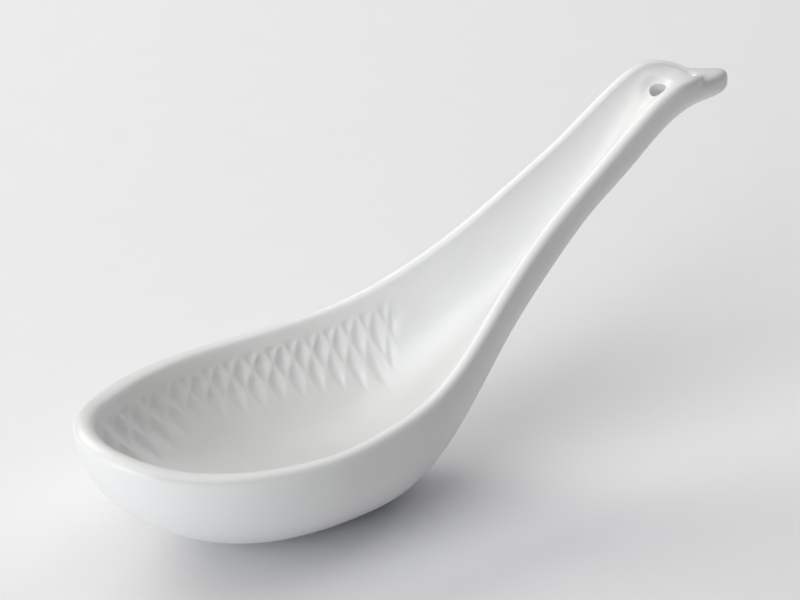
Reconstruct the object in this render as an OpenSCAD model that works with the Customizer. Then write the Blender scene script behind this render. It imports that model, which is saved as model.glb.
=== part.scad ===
// Chinese soup spoon of glazed white porcelain, moulded and fired in one piece.
// A deep oval bowl stands on a ground flat foot. Its rim runs on without a break into the two
// rails of a steep grooved handle, which rolls over at the top into a solid rounded nose.
// Lozenges are pressed into the wall of the bowl, and a hole in the groove hangs the spoon up.
// The origin is the middle of the foot, X points to the handle and Z points up.

/* [Bowl] */
// Length of the rim's middle line, from the front of the bowl to the end of the rails
rim_len = 127; // [110:1:145]
// Half of the bowl's width, taken to the rim's middle line
bowl_half_w = 22; // [18:0.5:26]
// Distance from the front of the bowl back to its widest place
widest_at = 34; // [28:1:40]
// Distance from the front of the bowl back to the middle of the foot
foot_at = 44; // [40:1:48]
// Distance from the front of the bowl back to where its bottom line starts
bottom_reach = 40; // [36:1:43]
// Wall thickness at the rim of the bowl
bowl_wall = 2.7; // [2.2:0.1:3.6]

/* [Handle] */
// Height above the table that the rim, keel and hollow shares are taken from
top_h = 66; // [56:1:76]
// Wall thickness at the rails of the handle
handle_wall = 2.6; // [2:0.1:3.4]
// Length of the rounded end where the two rails meet
rail_round = 7.8; // [6.5:0.1:9.5]
// Length of the solid nose past the end of the rails
nose_len = 5.9; // [4.5:0.1:7]
// Distance that the groove stops before the end of the rails
groove_short = 3.5; // [2.8:0.1:4.2]

/* [Hanging hole] */
// Diameter of the hole through the groove
hole_d = 3.2; // [2.4:0.1:4]
// Distance of the hole from the end of the rails
hole_back = 9.6; // [8.5:0.1:11]
// Tilt of the hole away from upright, towards the bowl
hole_tilt = 35; // [25:1:42]
// Length of the cutter that makes the hole
hole_cut = 30; // [24:1:36]

/* [Lattice] */
// Length of rim that the lattice fills on each side, from the front of the bowl
lattice_len = 80; // [64:1:86]
// Number of lozenges in that length
lattice_cells = 19; // [15:1:21]
// Depth of a lozenge at its middle
lozenge_depth = 0.55; // [0.3:0.05:0.7]
// Height above the table of the lozenges' lowest points
lattice_low = 12.1; // [11:0.1:13.5]

/* [Hidden] */

// Heights of the rim along its length, as shares of top_h, from one step before the front on
rim_shares = [0.435, 0.412, 0.376, 0.366, 0.359, 0.355, 0.364, 0.382, 0.428, 0.519,
              0.622, 0.728, 0.816, 0.928, 1.022, 0.978, 0.845];
// Heights of the underside's middle line in the same steps, just under 0 where the foot is ground
keel_shares = [-0.006, -0.006, -0.006, -0.006, -0.006, -0.006, -0.009, -0.027, 0.031, 0.179,
               0.356, 0.5, 0.642, 0.74, 0.882, 0.91, 0.899];
// Heights of the inside's middle line in the same steps
hollow_shares = [0.066, 0.066, 0.066, 0.066, 0.066, 0.066, 0.066, 0.07, 0.13, 0.285,
                 0.437, 0.57, 0.7, 0.836, 1.015, 0.97, 1];
// Half widths of the rim behind the widest place, as shares of bowl_half_w
width_shares = [0.952, 0.854, 0.646, 0.419, 0.322, 0.27, 0.246, 0.215, 0.182];
// How full the section is, outside in the bowl and handle, then inside in both: the share of its
// width and depth where it crosses its diagonal, 0.7071 in an ellipse
bowl_full_share = 0.698;
handle_full_share = 0.691;
hollow_full_share = 0.74;
groove_full_share = 0.7071;
// The same for the nose, seen from the side, and for how it narrows at its top and at its bottom
nose_full_share = 0.863;
nose_top_share = 0.945;
nose_low_share = 0.789;
// How much of the nose grows straight ahead, the rest grows away from the rim
nose_ahead_share = 0.85;

// Shares of the rail's own parameter at the end of the front curve and at the start of the end curve
front_share = 0.35;
end_share = 0.85;
// Steps of the arc length table and columns of the mesh along one side
arc_steps = 300;
lattice_cols = lattice_cells * 4;
handle_cols = 28;
cols = lattice_cols + handle_cols;
// Rings of the mesh: on the outside as shares of the drop, round the rim, and on the floor
outer_shares = [0.996, 0.988, 0.975, 0.945, 0.88, 0.76, 0.6, 0.43, 0.27, 0.14, 0.05];
rim_rings = 5;
wall_rings = 8;
floor_shares = [0.4, 0.66, 0.85, 0.97];
// How far the rim has turned before the outside starts, at the end of the rails
nose_angle = 30;
// Full rows of lozenges, under the half row at the rim, and the height of a row as a share of the
// wall above the lattice's lowest points
lattice_rows = 2;
row_share = 0.33;
// How far the underside's middle line creeps back per length of rim, to keep its points apart
creep_share = 0.05;

function smooth(t) = let(c = min(max(t, 0), 1)) c * c * (3 - 2 * c);
function mix(a, b, t) = a + (b - a) * t;

// Smooth curve through evenly spaced guide values, u runs from 0 to 1
function curve(g, u) =
    let(spans = len(g) - 3, t = min(max(u, 0), 1) * spans, i = min(floor(t), spans - 1), f = t - i)
    (pow(1 - f, 3) * g[i] + (3 * pow(f, 3) - 6 * f * f + 4) * g[i + 1]
     + (3 * f + 3 * f * f - 3 * pow(f, 3) + 1) * g[i + 2] + pow(f, 3) * g[i + 3]) / 6;

function height(shares, x) = top_h * curve(shares, x / rim_len);
width_guides = concat([width_shares[0], 1.5 - width_shares[0] / 2], width_shares);
function half_width(x) = bowl_half_w * curve(width_guides, (x - widest_at) / (rim_len - widest_at));

// Plan of the rim's middle line on one side, t from 0 at the front to 1 at the end of the rails
function rail(t) =
    t < 0 ? flip(rail(-t)) :
    t > 1 ? flip(rail(2 - t)) :
    t < front_share ?
        let(a = 90 * t / front_share) [widest_at * (1 - cos(a)), bowl_half_w * sin(a)] :
    t < end_share ?
        let(x = mix(widest_at, rim_len - rail_round, (t - front_share) / (end_share - front_share)))
        [x, half_width(x)] :
    let(a = 90 * (t - end_share) / (1 - end_share), x = rim_len - rail_round + rail_round * sin(a))
    [x, half_width(x) * cos(a)];
function flip(p) = [p.x, -p.y];

// Table from the distance along the rim to the rail's parameter
marks = [for (i = [0:arc_steps]) rail(i / arc_steps)];
arcs = [for (i = 0, s = 0; i <= arc_steps;
             s = s + norm(marks[min(i + 1, arc_steps)] - marks[i]), i = i + 1) [s, i / arc_steps]];
side_len = arcs[arc_steps][0];

// Distance along the rim of column j: four to a lozenge, then closing up towards the nose
function col_arc(j) =
    j <= lattice_cols ? lattice_len * j / lattice_cols
    : mix(lattice_len, side_len, 1 - pow(1 - (j - lattice_cols) / handle_cols, 1.4));

// A station: rim point, plan normal, wall, share of handle, share of end curve, keel x, hollow x, arc
function station(j) =
    let(s = col_arc(j), t = lookup(s, arcs), gap = 1 / arc_steps,
        p = rail(t), along = rail(t + gap) - rail(t - gap), n = [-along.y, along.x] / norm(along),
        handle = smooth((p.x / rim_len - 0.26) / 0.5),
        end = min(max(1 - (rim_len - p.x) / rail_round, 0), 1),
        middle = pow(pow(bottom_reach, 5) + pow(p.x, 5), 1 / 5)
            + creep_share * s * max(1 - 2 * p.x / rim_len, 0))
    [p, n, mix(bowl_wall, handle_wall, handle), handle, end,
     middle, middle - groove_short * end * end, s];

// Point on the rolled rim, f from 0 at the outside to 1 at the inside
function rim_point(q, f) =
    let(a = mix(nose_angle * smooth(pow(q[4], 2)), 180, f), p = q[0] + q[1] * q[2] / 2 * cos(a))
    [p.x, p.y, height(rim_shares, q[0].x) + q[2] / 2 * sin(a)];

// Exponent of the section's curve, from how full it is
function power(full_share) = ln(0.5) / ln(full_share);

// Point on the outside, c is the share of the drop from the rim to the keel
function outer_point(q, c) =
    let(e = mix(power(bowl_full_share), power(handle_full_share), q[3]), m = power(nose_full_share),
        spread = pow(1 - pow(c, e), 1 / e), top = rim_point(q, 0),
        full = pow(1 - pow(abs(2 * c - 1), m), 1 / m),
        swell = nose_len * full * pow(q[4], mix(power(nose_top_share), power(nose_low_share), c)))
    [mix(q[5], top.x, spread) + swell * mix(q[1].x, 1, nose_ahead_share),
     top.y * spread + swell * q[1].y * (1 - nose_ahead_share),
     mix(top.z, height(keel_shares, q[5]), c)];

// Point on the inside, c is the share of the drop from the rim to the hollow, d the depth pressed in
function inner_point(q, c, d) =
    let(e = mix(power(hollow_full_share), power(groove_full_share), q[3]),
        spread = pow(1 - pow(c, e), 1 / e), top = rim_point(q, 1), out = q[1] * d)
    [mix(q[6], top.x, spread) + out.x, top.y * spread + out.y,
     mix(top.z, height(hollow_shares, q[6]), c)];

// Drop share of wall ring k: two to a row of lozenges in the bowl, even steps in the handle
function wall_share(q, k) =
    let(top = rim_point(q, 1).z, deep = top - height(hollow_shares, q[6]),
        level = (top - lattice_low) * (1 - row_share * (lattice_rows + 1 - (k - 1) / 2)) / deep,
        low = 0.02 * (k + 1), high = 0.95 - 0.03 * (wall_rings - k),
        past = smooth((q[7] - lattice_len) / (side_len - lattice_len) * 4))
    mix(min(max(level, low), high), 0.8 * (k + 1) / (wall_rings + 1), past);

// Depth of the lattice at a place on the wall: sharp ridges round shallow lozenges, which fade out
// in the smooth band under the rim
function pressed(q, c) =
    let(top = rim_point(q, 1).z, z = mix(top, height(hollow_shares, q[6]), c),
        v = lattice_rows + 1 - (z - lattice_low) / (top - lattice_low) / row_share,
        a = q[7] * lattice_cells / lattice_len, row = floor(a + v / 2) - floor(a - v / 2))
    q[7] < lattice_len && row <= lattice_rows
        ? lozenge_depth * smooth(2 * v) * abs(sin(180 * (a + v / 2)) * sin(180 * (a - v / 2))) : 0;

// All rings of one side from the keel over the rim to the hollow, then both sides as closed rings
sides = [for (j = [0:cols]) station(j)];
rings_one_side = concat(
    [for (c = outer_shares) [for (q = sides) outer_point(q, c)]],
    [for (i = [0:rim_rings]) [for (q = sides) rim_point(q, i / rim_rings)]],
    [for (k = [0:wall_rings - 1])
        [for (q = sides) let(c = wall_share(q, k)) inner_point(q, c, pressed(q, c))]],
    [for (f = floor_shares) [for (q = sides)
        let(last = wall_share(q, wall_rings - 1), c = mix(last, 1, f)) inner_point(q, c, 0)]]);
around = 2 * cols;
rings = [for (r = rings_one_side) concat(r, [for (j = [cols - 1:-1:1]) [r[j].x, -r[j].y, r[j].z]])];
keel_line = [for (q = sides) [q[5], 0, height(keel_shares, q[5])]];
hollow_line = [for (q = sides) [q[6], 0, height(hollow_shares, q[6])]];

// The skin: quads between the rings, split along the lattice's ridges, and two middle seams
function at(r, j) = r * around + (j % around);
points = concat([for (r = rings) each r], keel_line, hollow_line);
keel_first = len(rings) * around;
hollow_first = keel_first + cols + 1;
wall_first = len(outer_shares) + rim_rings + 1;
function falls(r, j) = (r < wall_first ? j < cols : (r + j) % 2 == 0);
skin = [for (r = [0:len(rings) - 2]) for (j = [0:around - 1])
    each falls(r, j)
        ? [[at(r, j), at(r + 1, j + 1), at(r + 1, j)], [at(r, j), at(r, j + 1), at(r + 1, j + 1)]]
        : [[at(r, j), at(r, j + 1), at(r + 1, j)], [at(r, j + 1), at(r + 1, j + 1), at(r + 1, j)]]];

// Middle seam under ring r, where line_first is the seam's first point
function mate(j) = j <= cols ? j : around - j;
function seam(r, line_first, up) = [for (j = [0:around - 1])
    let(a = at(r, j), b = at(r, j + 1), m = line_first + mate(j), n = line_first + mate((j + 1) % around))
    each up ? [[a, m, n], [a, n, b]] : [[a, n, m], [a, b, n]]];
faces = concat(skin, seam(0, keel_first, true), seam(len(rings) - 1, hollow_first, false));

// The hole starts on the groove's middle line
hole_at = rim_len - hole_back;

// The body: one porcelain shell, ground flat under the bowl and pierced near the top of the handle
module spoon() {
    color([0.93, 0.93, 0.92]) translate([-foot_at, 0, 0]) difference() {
        polyhedron(points, faces, convexity = 8);
        translate([foot_at - rim_len / 2, -bowl_half_w, -lattice_low])
            cube([rim_len, 2 * bowl_half_w, lattice_low]);
        translate([hole_at, 0, height(hollow_shares, hole_at)]) rotate([0, -hole_tilt, 0])
            cylinder(d = hole_d, h = hole_cut, center = true, $fn = 48);
    }
}

spoon();
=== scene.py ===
"""A soup spoon of white glazed porcelain, standing on a pale studio table."""

import math

import bpy
import numpy as np
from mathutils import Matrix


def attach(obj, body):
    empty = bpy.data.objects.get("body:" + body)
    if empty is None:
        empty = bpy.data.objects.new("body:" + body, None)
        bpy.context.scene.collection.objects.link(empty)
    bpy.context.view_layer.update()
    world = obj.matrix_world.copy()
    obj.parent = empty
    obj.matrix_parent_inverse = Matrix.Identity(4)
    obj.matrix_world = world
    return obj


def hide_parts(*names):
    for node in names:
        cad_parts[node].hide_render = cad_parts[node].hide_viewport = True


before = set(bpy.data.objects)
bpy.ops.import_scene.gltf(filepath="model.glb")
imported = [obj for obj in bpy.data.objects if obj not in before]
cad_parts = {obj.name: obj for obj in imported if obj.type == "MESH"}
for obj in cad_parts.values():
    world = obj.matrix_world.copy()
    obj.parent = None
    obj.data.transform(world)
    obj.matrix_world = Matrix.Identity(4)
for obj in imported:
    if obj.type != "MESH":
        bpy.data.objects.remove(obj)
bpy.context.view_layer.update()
scene = bpy.context.scene

# Camera
# It stands about half a metre away, in front of the bowl and to one side of it, and looks down on
# the spoon at the angle of the photograph.
mm = 0.001
camera_at = (-204.48, -350.41, 270.63)
looks_down, turned_right = 29.41, 32.41
lens_len, film_w = 120.65, 36
bpy.ops.object.camera_add(
    location=[c * mm for c in camera_at],
    rotation=(math.radians(90 - looks_down), 0, math.radians(-turned_right)),
)
camera = bpy.context.object
camera.name = "camera"
camera.data.lens = lens_len
camera.data.sensor_width = film_w
camera.data.clip_start = 0.01
scene.camera = camera

# The spoon
# It is one shell of glazed porcelain, pressed in a mould as one sheet of clay, which runs from the
# middle of the underside up the outside, over the rolled rim and down the inside. Sizes are in mm.
rim_len, top_h, foot_at = 127, 66, 44
bowl_half_w, widest_at, bottom_reach = 22, 34, 40
bowl_wall, handle_wall, lip_more = 2.7, 2.6, 1
rail_round, nose_len, nose_back, nose_dip, groove_short = 10.3, 7, 0.45, 0.33, 3.5
rail_end = rim_len - nose_back

# guide values at even steps along the spoon, the first and the last one step outside it: the
# heights of the rim, the keel and the hollow in shares of top_h, and the half width of the rim
# behind its widest place in shares of bowl_half_w
rim_shares = [0.435, 0.412, 0.376, 0.366, 0.359, 0.355, 0.364, 0.382, 0.428, 0.519,
              0.622, 0.728, 0.816, 0.927, 1.018, 0.985, 0.836]
keel_shares = [-0.006, -0.006, -0.006, -0.006, -0.006, -0.006, -0.009, -0.027, 0.031, 0.179,
               0.356, 0.5, 0.657, 0.735, 0.882, 0.909, 0.885]
hollow_shares = [0.066, 0.066, 0.066, 0.066, 0.066, 0.066, 0.066, 0.07, 0.13, 0.285,
                 0.437, 0.57, 0.7, 0.836, 1.015, 0.97, 1]
width_shares = [0.952, 1.024, 0.952, 0.854, 0.646, 0.419, 0.322, 0.27, 0.249, 0.23, 0.188]

# the rim's run: a round front up to front_share, the long rails up to end_share, a blunt round end
front_share, end_share, end_blunt = 0.35, 0.85, 1.07


def smooth(t):
    """A soft step from 0 to 1."""
    c = np.clip(t, 0, 1)
    return c * c * (3 - 2 * c)


def mix(a, b, t):
    """The value that lies t of the way from a to b."""
    return a + (b - a) * t


def curve(guides, u):
    """A smooth curve through evenly spaced guide values, u runs from 0 to 1."""
    g = np.array(guides, float)
    spans = len(g) - 3
    t = np.clip(u, 0, 1) * spans
    i = np.minimum(np.floor(t).astype(int), spans - 1)
    f = t - i
    return (
        (1 - f) ** 3 * g[i]
        + (3 * f**3 - 6 * f**2 + 4) * g[i + 1]
        + (1 + 3 * f + 3 * f**2 - 3 * f**3) * g[i + 2]
        + f**3 * g[i + 3]
    ) / 6


def height(shares, x):
    """Height of the rim, the keel or the hollow at a place along the spoon."""
    return top_h * curve(shares, x / rim_len)


def rail(t):
    """Plan of the rim's middle line on one side, from the front of the bowl to the handle's end."""
    sign = np.where((t < 0) | (t > 1), -1, 1)
    t = np.where(t < 0, -t, np.where(t > 1, 2 - t, t))
    front_turn = np.clip(t / front_share, 0, 1) * math.pi / 2
    end_turn = np.clip((t - end_share) / (1 - end_share), 0, 1) * math.pi / 2
    straight = mix(widest_at, rail_end - rail_round, (t - front_share) / (end_share - front_share))
    x = np.where(t < front_share, widest_at * (1 - np.cos(front_turn)),
                 np.where(t < end_share, straight, rail_end - rail_round * (1 - np.sin(end_turn))))
    half = bowl_half_w * curve(width_shares, (x - widest_at) / (rim_len - widest_at))
    y = np.where(t < front_share, bowl_half_w * np.sin(front_turn),
                 half * np.cos(end_turn) ** end_blunt)
    return x, y * sign


# marks along one side of the rim, by which a place is found from its length along the rim
marks = np.linspace(0, 1, 2001)
mark_x, mark_y = rail(marks)
mark_arc = np.concatenate([[0], np.cumsum(np.hypot(np.diff(mark_x), np.diff(mark_y)))])
side_len = mark_arc[-1]

# the flat sheet: columns along the rim on either side, closer together towards the nose, and
# rings across it, from the keel over the rim to the floor of the bowl
lattice_len, lattice_cols, handle_cols, nose_crowding = 80, 304, 84, 1.4
outer_rings, rim_rings, top_rings, lattice_rings, floor_rings = 34, 14, 5, 28, 22
cols = lattice_cols + handle_cols
around = 2 * cols
wall_rings = top_rings + lattice_rings
rings = outer_rings + rim_rings + wall_rings + floor_rings

bpy.ops.object.select_all(action="DESELECT")
bpy.ops.mesh.primitive_grid_add(x_subdivisions=around, y_subdivisions=rings, size=1)
spoon = bpy.context.object
spoon.name = "porcelain_body"
flat = np.zeros(len(spoon.data.vertices) * 3)
spoon.data.vertices.foreach_get("co", flat)
flat = flat.reshape(-1, 3)
column = np.rint((flat[:, 0] + 0.5) * around).astype(int)
ring = np.rint((flat[:, 1] + 0.5) * rings).astype(int)

# where each column stands along the rim, on which side, and which way is outwards there
side = np.where(column <= cols, 1, -1)
along = np.where(column <= cols, column, around - column)
on_handle = np.clip((along - lattice_cols) / handle_cols, 0, 1)
arc = np.where(along <= lattice_cols, lattice_len * along / lattice_cols,
               mix(lattice_len, side_len, 1 - (1 - on_handle) ** nose_crowding))
at = np.interp(arc, mark_arc, marks)
look_ahead = 1 / 300
rail_x, rail_y = rail(at)
ahead_x, ahead_y = rail(at + look_ahead)
behind_x, behind_y = rail(at - look_ahead)
step = np.hypot(ahead_x - behind_x, ahead_y - behind_y)
out_x, out_y = -(ahead_y - behind_y) / step, (ahead_x - behind_x) / step

# the bowl passes into the handle, and the rolled rim eases into the groove, over these shares of
# the rim's length; end grows from 0 to 1 where the rails close round the nose
handle_from, handle_over, ease_from, ease_over = 0.26, 0.5, 0.45, 0.35
handle = smooth((rail_x / rim_len - handle_from) / handle_over)
ease = smooth((rail_x / rim_len - ease_from) / ease_over)
end = np.clip(1 - (rail_end - rail_x) / rail_round, 0, 1)
wall = mix(bowl_wall, handle_wall, handle)
rim_z = height(rim_shares, rail_x) - nose_dip * smooth(end)

# where each column meets the keel and the hollow: from the front of the bowl they all run to
# about bottom_reach, with a small creep between them, and along the handle straight down
keel_bend, creep_share, creep_end = 5, 0.05, 0.5
middle = (bottom_reach**keel_bend + rail_x**keel_bend) ** (1 / keel_bend)
middle = middle + creep_share * arc * np.maximum(1 - rail_x / rim_len / creep_end, 0)
middle = middle + nose_back * end**2
keel_x, hollow_x = middle, middle - groove_short * end**2

# the rolled rim: a half round from the outside, 0, to the inside, 1; along the handle it stops
# short of the half round, at the nose it starts near the top, and a lip thickens the bowl's front
nose_angle, groove_angle, lip_fade = 85, 40, 1.4
rolled = np.clip((ring - outer_rings) / rim_rings, 0, 1)
roll = np.radians(mix(nose_angle * smooth(end**2), 180 - groove_angle * ease, rolled))
lip = lip_more * (1 - smooth(rail_x / widest_at / lip_fade))
reach = wall / 2 * np.cos(roll) - lip * (1 - np.cos(roll)) / 2
rim_px = rail_x + out_x * reach
rim_py = rail_y + out_y * reach
rim_pz = rim_z + wall / 2 * np.sin(roll)

# the outside: rings at even angles from the keel up to the rim
bowl_full, handle_full = 1.928, 1.875
outer_drop = np.cos(np.clip(ring / outer_rings, 0, 1) * math.pi / 2)
outer_full = mix(bowl_full, handle_full, handle)
outer_spread = (1 - outer_drop**outer_full) ** (1 / outer_full)

# the nose: the outside swells past the rails' end, more ahead than aside, and is drawn in at a
# neck under the rim
nose_full, nose_top_taper, nose_keel_taper, nose_neck = 3.3, 5.9, 3.7, 42
nose_ahead, nose_aside = 0.83, 0.17
nose_round = (1 - np.abs(2 * outer_drop - 1) ** nose_full) ** (1 / nose_full)
nose_draw = 1 + nose_neck * (1 - end) * smooth(2 - 2 * outer_drop)
nose_taper = mix(nose_top_taper, nose_keel_taper, outer_drop)
swell = nose_len * end**nose_taper * nose_round**nose_draw
outer_px = mix(keel_x, rim_px, outer_spread) + swell * mix(out_x, 1, nose_ahead)
outer_py = rim_py * outer_spread + swell * out_y * nose_aside
outer_pz = mix(rim_pz, height(keel_shares, keel_x), outer_drop)

# the inside: rings down the wall, in the bowl as many to each row of lozenges, and then the floor
lattice_rows, row_share, row_rings, lattice_low_front, lattice_low_rise = 3, 0.295, 8, 9, 0.045
ring_gap_top, ring_gap_low, wall_deepest, groove_deepest = 0.0035, 0.005, 0.97, 0.8
hollow_full, groove_full, groove_vee, groove_over = 2.3, 2, 0.45, 0.25
inner_ring = ring - outer_rings - rim_rings
wall_ring = np.clip(inner_ring, 0, wall_rings)
hollow_z = height(hollow_shares, hollow_x)
lattice_low = lattice_low_front + lattice_low_rise * arc
groove = smooth((arc - lattice_len) / (side_len - lattice_len) / groove_over)


def wall_share(nth):
    """Share of the drop from the rim to the hollow at the nth ring of the wall."""
    rows_down = np.maximum(nth - top_rings, 0) / row_rings
    level = (rim_z - lattice_low) * (1 - row_share * (lattice_rows - rows_down))
    share = level / (rim_z - hollow_z) * np.minimum(nth / top_rings, 1)
    share = np.maximum(share, ring_gap_top * nth)
    share = np.minimum(share, wall_deepest - ring_gap_low * (wall_rings - nth))
    return mix(share, np.sin(groove_deepest * nth / wall_rings * math.pi / 2), groove)


inner_full = mix(hollow_full, groove_full, handle)
last_share = wall_share(np.full(len(ring), wall_rings))
last_spread = (1 - last_share**inner_full) ** (1 / inner_full)
floor_spread = last_spread * (1 - np.clip((inner_ring - wall_rings) / floor_rings, 0, 1))
inner_drop = np.where(inner_ring <= wall_rings, wall_share(wall_ring),
                      (1 - floor_spread**inner_full) ** (1 / inner_full))
inner_spread = (1 - inner_drop**inner_full) ** (1 / inner_full)
inner_spread = mix(inner_spread, 1 - inner_drop, groove_vee * ease)
inner_pz = mix(rim_pz, hollow_z, inner_drop)

# the lozenges: shallow dishes between sharp ridges, in rows that are staggered by half a lozenge;
# they are wider and deeper towards the front of the bowl, and stop on a slant at the handle
lozenge_first, lozenges_per_mm, lozenge_crowding, crowded_from = 0.5, 0.1765, 0.00138, 31
lozenge_depth, front_deeper, even_from, top_fade = 0.7, 0.6, 65, 0.5
stop_past, stop_slant, stop_fade, ridge_slack = 2.5, 2, 1.5, 1e-6
rows = lattice_rows - (inner_pz - lattice_low) / (rim_z - lattice_low) / row_share
lozenges = (lozenge_first + lozenges_per_mm * arc
            + lozenge_crowding * np.maximum(arc - crowded_from, 0) ** 2)
rising, falling = lozenges + rows / 2, lozenges - rows / 2
row = np.floor(rising + ridge_slack) - np.floor(falling + ridge_slack)
inside = (row >= 0) & (row < lattice_rows) & (inner_ring >= 0)
dish = np.where(inside, np.abs(np.sin(math.pi * rising) * np.sin(math.pi * falling)), 0)
stop = smooth((lattice_len + stop_past - stop_slant * rows - arc) / stop_fade)
dish = dish * smooth(rows / top_fade) * stop
press = lozenge_depth * (1 + front_deeper - front_deeper * smooth(arc / even_from)) * dish
inner_px = mix(hollow_x, rim_px, inner_spread) + out_x * press
inner_py = rim_py * inner_spread + out_y * press

# the groove dips softly round the hanging hole, where the glaze has rounded its edge
hole_d, hole_back, hole_tilt, hole_cut, dip_deep, dip_wide = 3.2, 9.6, 35, 30, 0.6, 1.6
hole_at = rim_len - hole_back
from_hole = np.hypot(inner_px - hole_at, inner_py) - hole_d / 2
inner_pz = inner_pz - dip_deep * (1 - smooth(from_hole / dip_wide))

on_outside, on_rim = ring < outer_rings, ring <= outer_rings + rim_rings
x = np.where(on_outside, outer_px, np.where(on_rim, rim_px, inner_px))
y = np.where(on_outside, outer_py, np.where(on_rim, rim_py, inner_py))
z = np.where(on_outside, outer_pz, np.where(on_rim, rim_pz, inner_pz))
y = np.where((ring == 0) | (ring == rings), 0, y)
shaped = np.stack([x - foot_at, y * side, z], 1) * mm
spoon.data.vertices.foreach_set("co", shaped.ravel())
pool = spoon.data.attributes.new("glaze_pool", "FLOAT", "POINT")
pool.data.foreach_set("value", dish)
spoon.data.update()

# the sheet's edges meet along the keel, the floor and the front, and are joined there
joint_gap = 0.002
bpy.ops.object.mode_set(mode="EDIT")
bpy.ops.mesh.select_all(action="SELECT")
bpy.ops.mesh.remove_doubles(threshold=joint_gap * mm)
bpy.ops.mesh.normals_make_consistent(inside=False)

# the foot is ground flat on a wheel after firing
bpy.ops.mesh.select_all(action="SELECT")
bpy.ops.mesh.bisect(plane_co=(0, 0, 0), plane_no=(0, 0, 1), use_fill=True, clear_inner=True,
                    threshold=1e-7)
bpy.ops.object.mode_set(mode="OBJECT")

# the hole through the groove is cut while the clay is soft
bpy.ops.object.select_all(action="DESELECT")
bpy.ops.mesh.primitive_cylinder_add(
    vertices=96, radius=hole_d / 2 * mm, depth=hole_cut * mm,
    location=((hole_at - foot_at) * mm, 0, float(height(hollow_shares, hole_at)) * mm),
    rotation=(0, math.radians(-hole_tilt), 0),
)
cutter = bpy.context.object
bpy.ops.object.select_all(action="DESELECT")
spoon.select_set(True)
bpy.context.view_layer.objects.active = spoon
pierce = spoon.modifiers.new("hanging_hole", "BOOLEAN")
pierce.operation = "DIFFERENCE"
pierce.solver = "EXACT"
pierce.object = cutter
bpy.ops.object.modifier_apply(modifier=pierce.name)
bpy.data.objects.remove(cutter)
sharp_edge = 40
bpy.ops.object.shade_smooth_by_angle(angle=math.radians(sharp_edge))

# glazed white porcelain: the glaze lies thicker and cooler in the lozenges, and the foot is bare
glaze_dim, glaze_bright = (0.80, 0.80, 0.795, 1), (0.83, 0.83, 0.825, 1)
glaze_thick, pooling = (0.78, 0.79, 0.80, 1), 0.5
clay_dark, clay_pale = (0.66, 0.63, 0.58, 1), (0.80, 0.78, 0.74, 1)
bare_below, glazed_above = 0.02, 0.12
rough_least, rough_most, rough_bare, coat_weight = 0.3, 0.4, 0.75, 0.2
ripple_strength, ripple_height = 0.15, 0.15


def speckle(tree, place, scale, detail):
    """Soft noise that stays where it is on the piece."""
    noise = tree.nodes.new("ShaderNodeTexNoise")
    noise.inputs["Scale"].default_value = scale
    noise.inputs["Detail"].default_value = detail
    tree.links.new(place.outputs["Object"], noise.inputs["Vector"])
    return noise


def two_tones(tree, noise, first, second, low=0, high=1):
    """A colour that passes from first to second as the noise rises from low to high."""
    ramp = tree.nodes.new("ShaderNodeValToRGB")
    ramp.color_ramp.elements[0].position = low
    ramp.color_ramp.elements[0].color = first
    ramp.color_ramp.elements[1].position = high
    ramp.color_ramp.elements[1].color = second
    tree.links.new(noise.outputs["Fac"], ramp.inputs["Fac"])
    return ramp


porcelain = bpy.data.materials.new("glazed_porcelain")
porcelain.use_nodes = True
tree = porcelain.node_tree
shader = tree.nodes["Principled BSDF"]
place = tree.nodes.new("ShaderNodeTexCoord")
cloud = speckle(tree, place, scale=55, detail=3)
grain = speckle(tree, place, scale=2500, detail=4)
ripple = speckle(tree, place, scale=180, detail=2)

pooled = tree.nodes.new("ShaderNodeAttribute")
pooled.attribute_name = "glaze_pool"
scaled = tree.nodes.new("ShaderNodeMath")
scaled.operation = "MULTIPLY"
scaled.inputs[1].default_value = pooling
tree.links.new(pooled.outputs["Fac"], scaled.inputs[0])
tone = two_tones(tree, cloud, glaze_dim, glaze_bright, low=0.3, high=0.7)
thick = tree.nodes.new("ShaderNodeMix")
thick.data_type = "RGBA"
thick.inputs["B"].default_value = glaze_thick
tree.links.new(tone.outputs["Color"], thick.inputs["A"])
tree.links.new(scaled.outputs["Value"], thick.inputs["Factor"])

axes = tree.nodes.new("ShaderNodeSeparateXYZ")
tree.links.new(place.outputs["Object"], axes.inputs["Vector"])
bare = tree.nodes.new("ShaderNodeMapRange")
bare.inputs["From Min"].default_value = bare_below * mm
bare.inputs["From Max"].default_value = glazed_above * mm
bare.inputs["To Min"].default_value = 1
bare.inputs["To Max"].default_value = 0
tree.links.new(axes.outputs["Z"], bare.inputs["Value"])
biscuit = two_tones(tree, grain, clay_dark, clay_pale)
skin = tree.nodes.new("ShaderNodeMix")
skin.data_type = "RGBA"
tree.links.new(bare.outputs["Result"], skin.inputs["Factor"])
tree.links.new(thick.outputs["Result"], skin.inputs["A"])
tree.links.new(biscuit.outputs["Color"], skin.inputs["B"])
tree.links.new(skin.outputs["Result"], shader.inputs["Base Color"])

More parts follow.
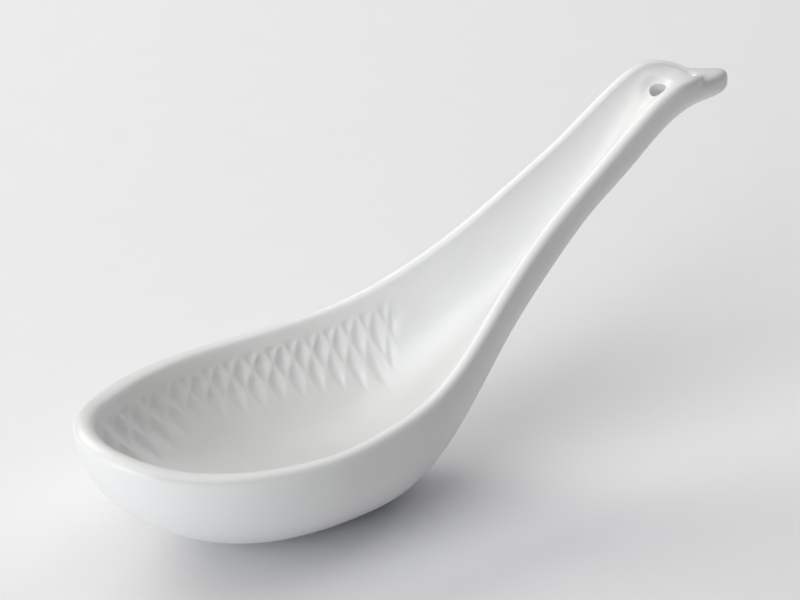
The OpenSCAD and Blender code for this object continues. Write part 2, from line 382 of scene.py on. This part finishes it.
gloss = tree.nodes.new("ShaderNodeMapRange")
gloss.inputs["To Min"].default_value = rough_least
gloss.inputs["To Max"].default_value = rough_most
tree.links.new(cloud.outputs["Fac"], gloss.inputs["Value"])
dull = tree.nodes.new("ShaderNodeMix")
dull.inputs["B"].default_value = rough_bare
tree.links.new(bare.outputs["Result"], dull.inputs["Factor"])
tree.links.new(gloss.outputs["Result"], dull.inputs["A"])
tree.links.new(dull.outputs["Result"], shader.inputs["Roughness"])
coat = tree.nodes.new("ShaderNodeMapRange")
coat.inputs["To Min"].default_value = coat_weight
coat.inputs["To Max"].default_value = 0
tree.links.new(bare.outputs["Result"], coat.inputs["Value"])
tree.links.new(coat.outputs["Result"], shader.inputs["Coat Weight"])
shader.inputs["Coat Roughness"].default_value = 0.2
shader.inputs["IOR"].default_value = 1.5

bump = tree.nodes.new("ShaderNodeBump")
bump.inputs["Strength"].default_value = ripple_strength
bump.inputs["Distance"].default_value = ripple_height * mm
tree.links.new(ripple.outputs["Fac"], bump.inputs["Height"])
tree.links.new(bump.outputs["Normal"], shader.inputs["Normal"])

spoon.data.materials.clear()
spoon.data.materials.append(porcelain)
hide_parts("spoon")
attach(spoon, "root")

# The studio, in metres
# A table of pale paper stands under six soft lamps, and the strongest are at the front left and
# the back left. The air all round is dim.
table_w = 6
paper_dim, paper_bright = (0.845, 0.84, 0.86, 1), (0.865, 0.86, 0.88, 1)
bpy.ops.object.select_all(action="DESELECT")
bpy.ops.mesh.primitive_plane_add(size=table_w)
table = bpy.context.object
table.name = "studio_table"
paper = bpy.data.materials.new("pale_paper")
paper.use_nodes = True
paper_tree = paper.node_tree
paper_shader = paper_tree.nodes["Principled BSDF"]
paper_place = paper_tree.nodes.new("ShaderNodeTexCoord")
fibre = speckle(paper_tree, paper_place, scale=90, detail=2)
paper_tone = two_tones(paper_tree, fibre, paper_dim, paper_bright)
paper_tree.links.new(paper_tone.outputs["Color"], paper_shader.inputs["Base Color"])
paper_shader.inputs["Roughness"].default_value = 0.8
table.data.materials.append(paper)

lamp_w, lamp_away = 0.6, 0.9
lamp_aim = (0.01, 0, 0.03)


def softbox(name, turn, lift, watts, tint):
    """A square soft lamp that faces the spoon, turned round it and lifted, both in degrees."""
    turn, lift = math.radians(turn), math.radians(lift)
    away = (math.sin(turn) * math.cos(lift), -math.cos(turn) * math.cos(lift), math.sin(lift))
    bpy.ops.object.light_add(
        type="AREA", location=[aim + lamp_away * a for aim, a in zip(lamp_aim, away)],
        rotation=(math.pi / 2 - lift, 0, turn),
    )
    lamp = bpy.context.object
    lamp.name = name
    lamp.data.size = lamp_w
    lamp.data.energy = watts
    lamp.data.color = tint


softbox("front_softbox", -77, 15, 5, (0.92, 0.955, 1))
softbox("high_softbox", -77, 50, 1.9, (1, 0.975, 0.88))
softbox("top_softbox", -32, 89, 1.7, (0.98, 1, 1))
softbox("back_left_softbox", -167, 40, 3.5, (1, 0.995, 0.95))
softbox("back_softbox", 148, 40, 0.75, (1, 0.98, 0.92))
softbox("back_right_softbox", 103, 40, 1.8, (0.93, 0.95, 1))

air_glow = 0.03
world = bpy.data.worlds.new("studio_air")
world.use_nodes = True
world.node_tree.nodes["Background"].inputs["Color"].default_value = (1, 1, 1, 1)
world.node_tree.nodes["Background"].inputs["Strength"].default_value = air_glow
scene.world = world
scene.view_settings.view_transform = "Standard"
